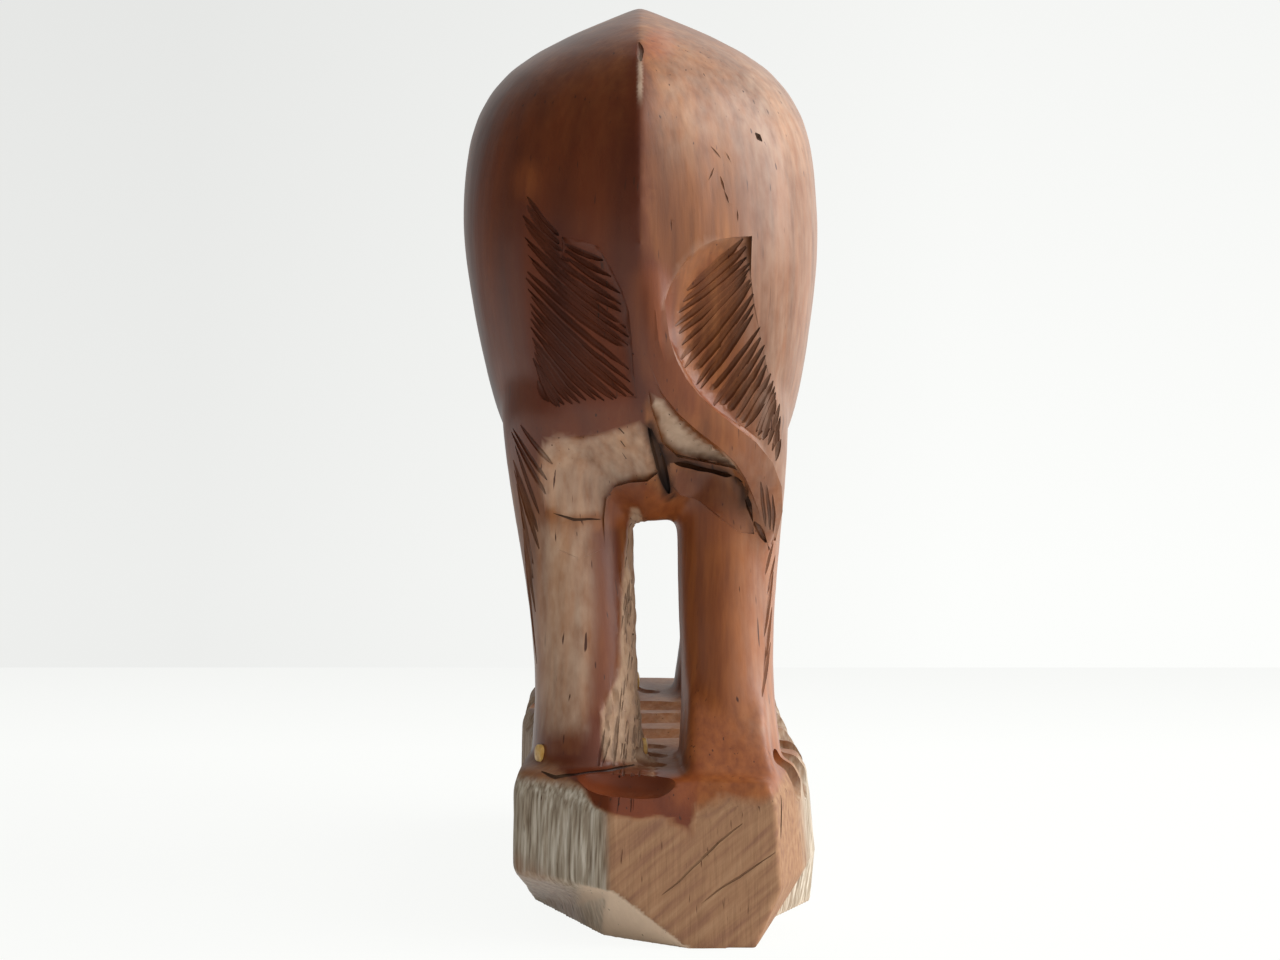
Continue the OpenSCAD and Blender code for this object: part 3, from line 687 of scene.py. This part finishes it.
hatches = {
    "right": {
        "guides": [((-28.7, 196), (-12.4, 182)), ((-30.6, 190), (-10.4, 173)), ((-31, 185), (-11.6, 163.4)),
                   ((-31.6, 178.6), (-14.8, 156)), ((-34, 168.6), (-20, 149.6)),
                   ((-36.4, 160), (-26.4, 145)), ((-38.2, 154), (-31.6, 141.6)),
                   ((-39.2, 148.1), (-36.2, 137.6)), ((-40, 139), (-38.6, 131))],
        "perGap": 3, "radius": 1.35, "sink": 1.6, "sag": 0.6},
    "left": {
        "guides": [((31.4, 208), (21.3, 197.3)), ((31.6, 200.2), (20, 190.1)),
                   ((31.2, 194.2), (3.6, 172.2)), ((31.4, 186.8), (2.8, 165)), ((31, 179.8), (2, 153)),
                   ((30.5, 173.9), (7.8, 151.6)), ((30, 167.7), (15, 151)), ((29.6, 162), (21, 149.6)),
                   ((28.8, 156.9), (25.2, 149.5))],
        "perGap": 3, "radius": 1.15, "sink": 1.2, "sag": 1.2},
    "left inner": {
        "guides": [((20.2, 195.2), (10.4, 191)), ((20.4, 190.8), (6, 182)), ((20.6, 186.4), (4.8, 176))],
        "perGap": 2, "radius": 1.1, "sink": 1.1, "sag": 0.4},
    "left thigh": {
        "guides": [((33.8, 143), (25.6, 132)), ((36.2, 140), (27, 123)), ((35.8, 133), (29, 112)),
                   ((35, 126), (30, 103)), ((34.2, 118), (30.2, 94)), ((33.4, 108), (30.2, 84)),
                   ((32.4, 97), (29.8, 74))],
        "perGap": 2, "radius": 1.0, "sink": 1.0, "sag": 0.3},
    "right thigh": {
        "guides": [((-38.6, 110), (-36, 99.5)), ((-38.2, 100), (-35.8, 88)), ((-37.6, 90), (-35.5, 76)),
                   ((-37.2, 80), (-35.3, 66))],
        "perGap": 2, "radius": 1.0, "sink": 0.8, "sag": 0.2},
}
# fibres of the torn strip inside the left hind leg, spreading over the foot
fibreSpec = {"count": 46, "top": (52, 116), "length": (8, 20), "across": (-2.5, 4.6), "radius": (0.3, 0.6),
             "sink": 0.4}
# shallow rings across the front of the trunk, from the top one down
ringSpec = {"count": 9, "top": 168, "gap": 7.5, "half": 10, "narrowing": 0.45, "radius": 1.4, "sink": 0.5,
            "sag": 3}


def carveInTurns(name, lines, wood, **settings):
    # cut in three turns, so that no stroke of a turn runs into the next one
    for turn in range(3):
        carve(strokes(name, lines[turn::3], wood, **settings))


rng = np.random.default_rng(11)
tree = caster(carving)
fibres = []
for _ in range(fibreSpec["count"]):
    high, run = rng.uniform(*fibreSpec["top"]), rng.uniform(*fibreSpec["length"])
    spread = 1 + 1.4 * float(1 - ease(high, 54, 74))
    u = rng.uniform(*fibreSpec["across"])
    ends = [(u * spread, high), (u * spread * 1.25 + 0.4, high - run)]
    fibres.append(laid(tree, ends, rng.uniform(*fibreSpec["radius"]), fibreSpec["sink"]))
carveInTurns("torn fibres", [line for line in fibres if len(line) > 3], gouged, wobble=0.8, seed=9)

for seed, (name, spec) in enumerate(hatches.items()):
    lines = []
    for ends in between(spec["guides"], spec["perGap"]):
        slip = rng.normal(0, 0.4, (2, 2))
        ends = [(u + du, z + dz) for (u, z), (du, dz) in zip(ends, slip)]
        lines.append(laid(tree, ends, spec["radius"] * rng.uniform(0.85, 1.15), spec["sink"], spec["sag"]))
    carveInTurns(name, [line for line in lines if len(line) > 2], gouged, seed=seed)

rings = []
for k in range(ringSpec["count"]):
    z, half = ringSpec["top"] - ringSpec["gap"] * k, ringSpec["half"] - ringSpec["narrowing"] * k
    rings.append(laid(tree, [(-half, z), (half, z)], ringSpec["radius"], ringSpec["sink"], ringSpec["sag"],
                      azimuth=180))
carve(strokes("trunk rings", rings, varnished, sides=12, wobble=0.4, seed=15))

# single cuts seen from behind: x and z of each point, radius and how deep
singleCuts = {
    "crevice beside the tail": ([(-2.6, 145), (-4.6, 138), (-6.4, 130), (-8.4, 123.6)], 1.7, 2.2),
    "undercut of the tail": ([(-6, 137.4), (-11, 133.2), (-17, 131.4), (-23.5, 129.8),
                              (-29.4, 127.6)], 1.8, 2.6),
    "side of the tuft": ([(-29.6, 128), (-30.8, 121), (-34, 113.6), (-36.8, 107)], 1.3, 1.5),
    "first tuft groove": ([(-33.8, 128), (-34.6, 121), (-35.6, 114.4)], 0.6, 0.6),
    "second tuft groove": ([(-35.6, 127), (-36.4, 120), (-36.8, 113.4)], 0.6, 0.6),
    "third tuft groove": ([(-37.2, 124), (-37.8, 118), (-37.8, 112)], 0.55, 0.55),
    "crack in the buttock": ([(24.6, 117.8), (21, 116.7), (18.4, 115.9), (14.2, 116.1),
                              (11.3, 115.9)], 0.45, 0.5),
    "upper pit": ([(6, 143.4), (4.6, 141.8)], 0.9, 0.8),
    "middle pit": ([(5.4, 139.6), (4.2, 137.8)], 0.9, 0.8),
    "lower pit": ([(5, 135.8), (3.9, 133.9)], 0.8, 0.7),
    "chipped knot": ([(0.4, 250.6), (-0.2, 248.6), (0.2, 247), (-0.3, 245.4)], 1.1, 1.1),
    "pit high on the right": ([(-32.4, 225.4), (-34.4, 223)], 1.2, 0.9),
    "first fleck": ([(-19.6, 222), (-22.6, 218.6)], 0.4, 0.35),
    "second fleck": ([(-23.4, 221), (-25.4, 217)], 0.4, 0.35),
    "third fleck": ([(-22.4, 213.6), (-23.6, 209.6)], 0.5, 0.45),
    "fourth fleck": ([(-23.4, 209.6), (-24.6, 206)], 0.4, 0.4),
    "fifth fleck": ([(-20.6, 216), (-19, 212.6)], 0.35, 0.3),
    "sixth fleck": ([(-8.4, 203), (-8.6, 199)], 0.35, 0.3),
    "seventh fleck": ([(-27, 204.6), (-27.2, 201)], 0.35, 0.3),
    "upper shake in the ground": ([(-5.6, 14.6), (-11, 19), (-16.7, 24.7), (-22, 29.6),
                                   (-29.3, 35.4)], 0.4, 0.42),
    "lower shake in the ground": ([(-16.7, 12.3), (-22, 16.6), (-27.9, 20.1), (-37.7, 26.7)], 0.35, 0.38),
    "slit in the ground": ([(-39.3, 41.2), (-39.4, 36), (-39.2, 29.6)], 0.7, 1.2),
    "line under the left hind foot": ([(28, 45.4), (24, 44.6), (18.3, 45.7), (8.5, 46.2),
                                       (1.4, 46.4)], 1.0, 1.0),
}
tree = caster(carving)
for seed, (name, (route, radius, sink)) in enumerate(singleCuts.items()):
    line = []
    for x, z in route:
        at = onSurface(tree, x, z)
        line.append((x, at.y + radius - sink, z, radius))
    # near-black painted shadow goes into cracks, slits, pits, the foot line, the crevice and the undercut
    dark = any(word in name for word in ("crack", "slit", "pit", "line", "crevice", "undercut"))
    carve(strokes(name, [line], paintedShadowWood if dark else gouged, wobble=0.9, seed=20 + seed))

# scoops across the top of the ground: ends in x, place in y, radius and level of the bottom at each end
groundScoops = [
    (70, -70, -33, 13, 43.2, 43.2), (70, -70, -11, 14, 42.6, 42.6), (70, -70, 12, 13, 43.4, 43.4),
    (2.5, -10.5, 36, 5, 44.6, 44.6), (2, -10.5, 49, 4.6, 44.6, 44.6), (1.6, -10, 62, 4.4, 44.4, 44.4),
    (4, -9, -58, 5, 44.6, 44.6)]
# the flat scoop in front of the left hind foot, down to the near edge: x, y, z and radius
nearScoop = [(30, 80, 53.6, 8.6), (18, 82.5, 52.2, 9), (6, 86, 50.6, 9.4), (-6, 90, 49.2, 9.4),
             (-16, 95, 48.6, 9)]
# notches over the rims of the ground: side, place in y and radius of each, and how they all run
rimNotches = [(1, y, 11) for y in (-76, -46, -16, 14)] + [(1, 38, 7)]
rimNotches += [(-1, y, 12) for y in (-82, -58, -34, -11, 12)] + [(-1, 33, 8), (-1, 49, 6), (-1, 64, 5)]
notchRun = {"from": 64, "leftTo": 29, "rightTo": 34, "low": 22, "high": 45}


def groundCutters():
    lines = []
    notches = [(side * notchRun["from"], side * notchRun["leftTo" if side > 0 else "rightTo"], y, radius,
                notchRun["low"], notchRun["high"]) for side, y, radius in rimNotches]
    for start, end, y, radius, bottom, endBottom in groundScoops + notches:
        row = []
        for k in range(9):
            t = k / 8
            level = bottom + (endBottom - bottom) * t + radius
            row.append((start + (end - start) * t, y + 3 * math.sin(3 * t + y), level, radius))
        lines.append(row)
    lines.append(nearScoop)
    return strokes("ground scoops", lines, varnished, sides=40, step=3, wobble=1.6, seed=6)


carve(groundCutters())
# the carving is clamped to the box of the CAD part; nothing may reach beyond the CAD
# part
putPoints(carving.data, np.clip(points(carving.data), *(1000 * np.array(cadBounds))))


# zones of the surface seen from behind: softness of the edge, where in y it fades in, outline in x and z
paintZones = {
    "rightHatch": (1.5, 40, 55, [(-29, 194), (-20, 192), (-14.4, 186.5), (-11.4, 178), (-11.8, 171),
                                 (-14.6, 163), (-18.4, 156), (-23, 150.6), (-31, 144.6), (-36, 140),
                                 (-39.5, 142), (-38, 152), (-35, 164), (-32.5, 175), (-30.6, 186)]),
    "leftHatch": (2.5, 40, 55, [(33, 206), (22, 198), (12, 194), (6, 184), (3, 172), (1, 152), (14, 150),
                                (27, 149), (31, 165), (33, 190)]),
    "rightLeg": (3, 25, 40, [(-9, 120), (-9, 40), (-44, 40), (-44, 106), (-30, 118)]),
    # paleFlats and paleTail: facets facing down, lit pale as painted reflection of the white table
    "paleFlats": (1.4, 48, 56, [(28, 136), (24, 140.4), (16, 139.6), (8, 142), (0, 145), (-3, 141),
                                (-4.4, 130.4), (-1.6, 128.4), (3.4, 127.8), (8, 126), (10.4, 121.6),
                                (11, 118), (22, 117), (27, 121), (28.4, 129)]),
    "paleTail": (0.8, 50, 58, [(-3, 153), (-6.6, 151), (-10.6, 145.6), (-16.6, 140), (-21.6, 136.2),
                               (-27.4, 132.8), (-29, 131), (-21.3, 132.8), (-11.4, 135.4), (-7, 139.6),
                               (-5.2, 145.5)]),
    "crotch": (1.5, 30, 45, [(9.6, 121), (7, 125.4), (3, 126.6), (-2, 127), (-9, 120), (-8, 112), (2, 112),
                             (9, 114)]),
    # darker brown on the near face of the ground below the left hind foot
    "darkBelowLeftFoot": (0.7, 66, 74, [(30, 50), (16, 43), (13, 39), (6, 37), (0, 36), (-6, 37), (-10, 35), (-13, 31),
                           (-15.5, 38), (-18, 50)]),
    "flow": (1.5, 45, 60, [(-12, 70), (-13, 42), (-17, 38), (-24, 42), (-33, 40), (-42, 45), (-42, 70)]),
    "greyFace": (1.5, 20, 50, greyFace),
    "torn": (0.8, 42, 52, tornStrip),
    "besideRidge": (1.5, 50, 60, [(2, 250), (-1.5, 250), (-2.6, 200), (-6, 184), (-5.4, 174), (-6, 166),
                                  (-4, 152), (2, 152)]),
    "underTail": (2.5, 40, 50, [(-9, 131), (-28, 127), (-31, 116), (-24, 110), (-13, 108), (-8, 118)]),
    "innerLeg": (1.5, 40, 50, [(14, 113), (5.6, 113), (5.4, 80), (9, 62), (12, 48), (16, 48), (14, 80)]),
    "leftShank": (4, 45, 55, [(28, 114), (15, 114), (13.5, 90), (16, 58), (28, 56), (29, 90)]),
    # the lower left of the ground's back stays darker, less bare
    "darkerLowLeft": (3, 30, 50, [(46, 24), (30, 20), (18, 12), (16, -2), (46, -2)]),
    "nearChamfer": (1.5, 55, 65, [(16, 20), (11, 20), (-18, -2), (12, -2), (18, 6)]),
}
# painted shadow along the crease and under the tail, painted highlight on the lip: width, and x, y and z of
# the points
paintLines = {
    "lip": (1.0, [(-20.8, 75.7, 196.2), (-16.6, 78.1, 194.4), (-13, 79.7, 191.5), (-10, 81, 187.1),
                  (-8, 81.7, 183.3), (-6.6, 84.3, 178.8), (-6.6, 84.8, 174.7), (-7.7, 84.4, 170.5),
                  (-9.4, 83.2, 166.2), (-11.4, 81.3, 162.2), (-13.9, 78.5, 157.2), (-16.7, 76.4, 153.1),
                  (-20.4, 74.5, 149.1), (-24.4, 73, 146.1)]),
    "crease": (2.8, [(-2.6, 75, 145), (-4.6, 72, 138), (-6.4, 67, 130), (-8.4, 61, 123)]),
    "under": (3.4, [(-6, 72, 136.5), (-11, 68, 132.6), (-17, 65, 130.6), (-23.5, 63, 129),
                    (-29.4, 62, 126.6), (-30.8, 60, 121)]),
}


# where the surface gets painted shade, orange, bare, grey, painted shadow, pale wear with painted highlights,
# or dull
def paintMasks():
    mesh = carving.data
    co = points(mesh)
    x, y, z = co.T
    normals = np.empty(len(co) * 3, np.float32)
    mesh.vertex_normals.foreach_get("vector", normals)
    outX, _, outZ = normals.reshape(-1, 3).T
    on = {name: zone(co, outline, soft) * ease(y, low, high)
          for name, (soft, low, high, outline) in paintZones.items()}
    near = {name: nearLine(co, line, width) for name, (width, line) in paintLines.items()}
    tail = nearLine(co, [(u, 82 if v > 150 else 70, v) for u, v, *_ in tailRows[2:]], 9) * ease(y, 50, 60)

    # the ground: bare sides, undersides, and the facet nearest to the camera
    sides = np.maximum(1 - ease(z, 36, 39), (1 - ease(z, 44.5, 46)) * (1 - ease(outZ, 0.5, 0.75)))
    raw = np.clip(sides + 0.4 * (1 - ease(z, 46.5, 49)), 0, 1) * (1 - on["darkBelowLeftFoot"]) * (1 - on["flow"])
    underside = ease(-outZ, 0.2, 0.4) * (1 - ease(z, 18, 24))
    nearFacet = ease(-x, -2, 3) * ease(y, 55, 70)
    chamfer = underside + ease(-outX, 0.55, 0.8) * (1 - ease(z, 38, 44))
    weathered = on["greyFace"] + 0.5 * (1 - ease(y, 40, 70)) + 0.5 * chamfer * (1 - nearFacet)
    # painted reflection of the white table, lighter on the undersides and chamfers of the ground
    tableGlowUnder = (sides * underside * (0.2 + 0.75 * on["nearChamfer"])
                   * (1 - nearFacet * (1 - on["nearChamfer"])))

    # the body: painted shade left of the ridge, painted light right of it
    fromRidge = x - leanAt(z)
    left = ease(fromRidge, -0.4, 0.9)
    leftRump = left * ease(y, 0, 40) * ease(z, 112, 140) * (1 - 0.4 * ease(z, 215, 262))
    leftFoot = left * ease(z, 43, 47) * (1 - ease(z, 52, 66))
    # painted light from the window on the right flank and the top right; painted highlight on the ridge
    rightFlank = ease(-x, 22, 38) * ease(z, 50, 60)
    rightTop = ease(-x, 2, 9) * ease(z, 205, 235) * ease(y, 20, 45)
    ridgeShine = ((1 - ease(np.abs(fromRidge), 0.3, 0.9)) * ease(z, 232, 238) * (1 - ease(z, 247, 250))
                  * ease(y, 55, 62))
    # painted shade: left of the rump and foot away from the window, hatched hollows, beside the ridge, tail
    # face, inside the leg, between the legs, under the tail; below the left hind foot only darker; the pale
    # facets take it off again
    paintedShade = (0.92 * leftRump + 0.7 * leftFoot + 0.4 * on["rightHatch"] + 0.8 * on["leftHatch"]
             + 0.7 * on["besideRidge"] + (0.35 + 0.6 * ease(z, 132, 155)) * tail + 0.75 * on["innerLeg"]
             + 0.5 * on["crotch"] + 0.6 * on["underTail"] + on["darkBelowLeftFoot"] - on["paleFlats"] - on["paleTail"])
    ochre = (0.4 * tail * (1 - on["paleTail"]) + 0.45 * on["crotch"] + blob(co, (-5.5, 50, 250), (6, 40, 6))
             + 0.5 * blob(co, (31, 52, 212), (7, 30, 9)) + 0.6 * on["rightLeg"] + 0.25 * on["torn"])
    # pale tint: real wear on the torn strip and a paler left shank, with painted highlights and reflections
    # on the lip, pale facets, right flank and top, undersides and ridge
    worn = (0.08 * near["lip"] + 0.32 * on["paleFlats"] + 0.72 * on["paleTail"] + 0.34 * on["leftShank"]
            + 0.24 * on["torn"] + 0.12 * rightFlank + 0.14 * rightTop + tableGlowUnder + 0.45 * ridgeShine)
    masks = {
        "paintedShade": paintedShade,
        "ochre": np.clip(ochre, 0, 1) * (1 - on["rightHatch"]),
        "raw": raw * (1 - 0.45 * on["darkerLowLeft"]) + on["torn"],
        "grey": weathered * raw * (1 - on["torn"]) + 0.12 * on["torn"],
        # painted shadow in the crease beside the tail and under the tail
        "creaseShadow": 0.9 * near["crease"] + 0.8 * near["under"],
        "worn": worn,
    }
    masks = {name: np.clip(values, 0, 1) for name, values in masks.items()}
    matt = np.maximum.reduce([masks["raw"], 0.85 * on["rightHatch"], 0.7 * on["leftHatch"], masks["creaseShadow"]])
    masks["dull"] = np.clip(matt - on["paleFlats"], 0, 1)
    for name, values in masks.items():
        putFloats(mesh, name, values)


paintMasks()
print("masks painted")


# white table: pale to the camera whatever light falls on it, but with part of its own shading left
tableSpec = {"half": 3, "far": -0.38, "near": 4, "glow": 0.92}


def tableTop():
    mat, tree = newMaterial("matt white table")
    place = addNode(tree, "ShaderNodeTexCoord").outputs["Object"]
    axes = addNode(tree, "ShaderNodeSeparateXYZ", {0: place}).outputs
    far = addNode(tree, "ShaderNodeMapRange", {
        "Value": axes["Y"], "From Min": tableSpec["far"], "From Max": -0.2,
        "To Min": 0.93, "To Max": 1.0}).outputs[0]
    across = addNode(tree, "ShaderNodeMapRange", {
        "Value": axes["X"], "From Min": -0.1, "From Max": 0.25, "To Min": 1.02, "To Max": 0.99}).outputs[0]
    tone = addNode(tree, "ShaderNodeMath", {0: far, 1: across}, operation="MULTIPLY").outputs[0]
    ray = addNode(tree, "ShaderNodeLightPath").outputs
    seen = addNode(tree, "ShaderNodeMath", {0: ray["Is Camera Ray"], 1: ray["Is Glossy Ray"]},
                   operation="MAXIMUM").outputs[0]
    share = addNode(tree, "ShaderNodeMath", {0: seen, 1: tableSpec["glow"]}, operation="MULTIPLY").outputs[0]
    paper = addNode(tree, "ShaderNodeBsdfDiffuse", {"Color": linear("#f6f6f4")}).outputs[0]
    glow = addNode(tree, "ShaderNodeEmission", {"Color": linear("#fdfefc"), "Strength": tone}).outputs[0]
    both = addNode(tree, "ShaderNodeMixShader", {0: share, 1: paper, 2: glow}).outputs[0]
    addNode(tree, "ShaderNodeOutputMaterial", {"Surface": both})
    mesh = bpy.data.meshes.new("table")
    half, far, near = tableSpec["half"], tableSpec["far"], tableSpec["near"]
    mesh.from_pydata([(-half, far, 0), (half, far, 0), (half, near, 0), (-half, near, 0)], [], [(0, 1, 2, 3)])
    mesh.materials.append(mat)
    return addObject("table", mesh)


tableTop()

carving.data.shade_smooth()
carving.data.set_sharp_from_angle(angle=math.radians(38))
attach(carving, "elephant")
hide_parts("carved_block")

for name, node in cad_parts.items():
    if name != "carved_block":
        node.data.materials.clear()
        node.data.materials.append(blackWood if "eye" in name else paleWood)


# light: a wide window on the right, a bright wall behind, a dim room behind the camera
def studioLight():
    world = bpy.data.worlds.new("studio")
    scene.world = world
    world.use_nodes = True
    tree = world.node_tree
    tree.nodes.clear()
    incoming = addNode(tree, "ShaderNodeNewGeometry").outputs["Incoming"]
    towards = addNode(tree, "ShaderNodeSeparateXYZ", {0: incoming}).outputs
    window = addNode(tree, "ShaderNodeMapRange", {
        "Value": towards["X"], "From Min": -0.5, "From Max": 0.8, "To Min": 0.1, "To Max": 1.4}).outputs[0]
    behind = addNode(tree, "ShaderNodeMapRange", {
        "Value": towards["Y"], "From Min": 0.0, "From Max": 0.7, "To Min": 0.0, "To Max": 1.0}).outputs[0]
    leftwards = addNode(tree, "ShaderNodeMapRange", {
        "Value": towards["X"], "From Min": -0.7, "From Max": 0.4, "To Min": 0.3, "To Max": 1.0}).outputs[0]
    wall = addNode(tree, "ShaderNodeMath", {0: behind, 1: leftwards}, operation="MULTIPLY").outputs[0]
    surround = addNode(tree, "ShaderNodeMath", {0: wall, 1: window}, operation="MAXIMUM").outputs[0]
    # the wall that the camera sees is a little paler on the right and lower down
    across = addNode(tree, "ShaderNodeMapRange", {
        "Value": towards["X"], "From Min": -0.11, "From Max": 0.08,
        "To Min": 0.84, "To Max": 0.97}).outputs[0]
    down = addNode(tree, "ShaderNodeMapRange", {
        "Value": towards["Z"], "From Min": 0.0, "From Max": 0.14, "To Min": 0.96, "To Max": 1.03}).outputs[0]
    pale = addNode(tree, "ShaderNodeMath", {0: across, 1: down}, operation="MULTIPLY").outputs[0]
    ray = addNode(tree, "ShaderNodeLightPath").outputs["Is Camera Ray"]
    seen = addNode(tree, "ShaderNodeMix", {0: ray, 2: surround, 3: pale}, data_type="FLOAT").outputs[0]
    sky = addNode(tree, "ShaderNodeBackground", {"Color": linear("#fdfefc"), "Strength": seen}).outputs[0]
    addNode(tree, "ShaderNodeOutputWorld", {"Surface": sky})


studioLight()
windowSpec = {"size": 2.2, "energy": 62, "at": (-2.3, 0.1, 1.2), "aim": (0, 0, 0.14)}
lampData = bpy.data.lights.new("window", "AREA")
lampData.shape = "RECTANGLE"
lampData.size = lampData.size_y = windowSpec["size"]
lampData.energy = windowSpec["energy"]
lamp = addObject("window", lampData)
lamp.location = windowSpec["at"]
lamp.rotation_euler = (Vector(windowSpec["aim"]) - lamp.location).to_track_quat("-Z", "Y").to_euler()

# camera: behind the elephant, looking a little down at it
cameraSpec = {"lens": 112.9, "sensor": 36, "at": (0, 1.19, 0.262), "down": 6.8}
cameraData = bpy.data.cameras.new("camera")
cameraData.lens = cameraSpec["lens"]
cameraData.sensor_width = cameraSpec["sensor"]
camera = addObject("camera", cameraData)
camera.location = cameraSpec["at"]
camera.rotation_euler = (math.radians(90 - cameraSpec["down"]), 0, math.radians(180))
scene.camera = camera
scene.view_settings.view_transform = "Standard"
print("studio set")
